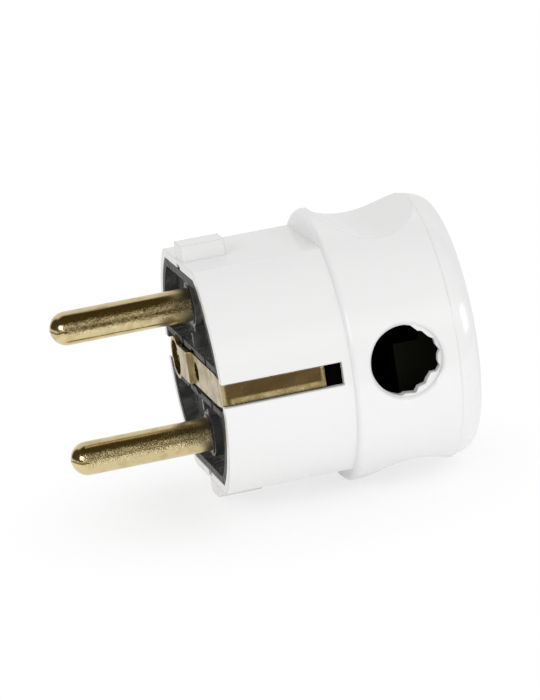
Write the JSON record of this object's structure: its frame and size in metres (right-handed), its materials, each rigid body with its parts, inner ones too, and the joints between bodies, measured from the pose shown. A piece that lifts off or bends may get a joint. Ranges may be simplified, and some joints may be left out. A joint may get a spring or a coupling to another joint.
{
  "type": "angled earthed plug",
  "caption": "White angled rewireable mains plug with round pins, side earthing strips, an earth-pin socket in its face, a side cable entry and finger scallops.",
  "frame": {"origin": "centre of the engagement face, midway between the two pins", "axes": "+X from the face back into the body, so the pins point to -X; the cable enters from -Y; +Z along the line of the pins, from the lower pin to the upper one"},
  "size_m": [0.0567, 0.0392, 0.0392],
  "materials": {
    "white_plastic": "gloss moulded",
    "black_plastic": "gloss moulded",
    "brass": "turned and rolled, lightly scratched",
    "steel": "zinc plated"
  },
  "bodies": {
    "root": {"cover": "white_plastic", "insert": "black_plastic", "cable_clamp": "black_plastic", "pin_upper": "brass", "pin_lower": "brass", "earth_bracket": "brass", "earth_strip": "brass", "earth_socket": "brass", "terminal_plate_upper": "steel", "terminal_plate_lower": "steel", "earth_plate": "steel", "terminal_screw_upper": "steel", "terminal_screw_lower": "steel", "earth_screw": "steel", "clamp_screw_upper": "steel", "clamp_screw_lower": "steel", "centre_screw": "steel", "centre_washer": "steel", "centre_nut": "steel"}
  },
  "joints": []
}
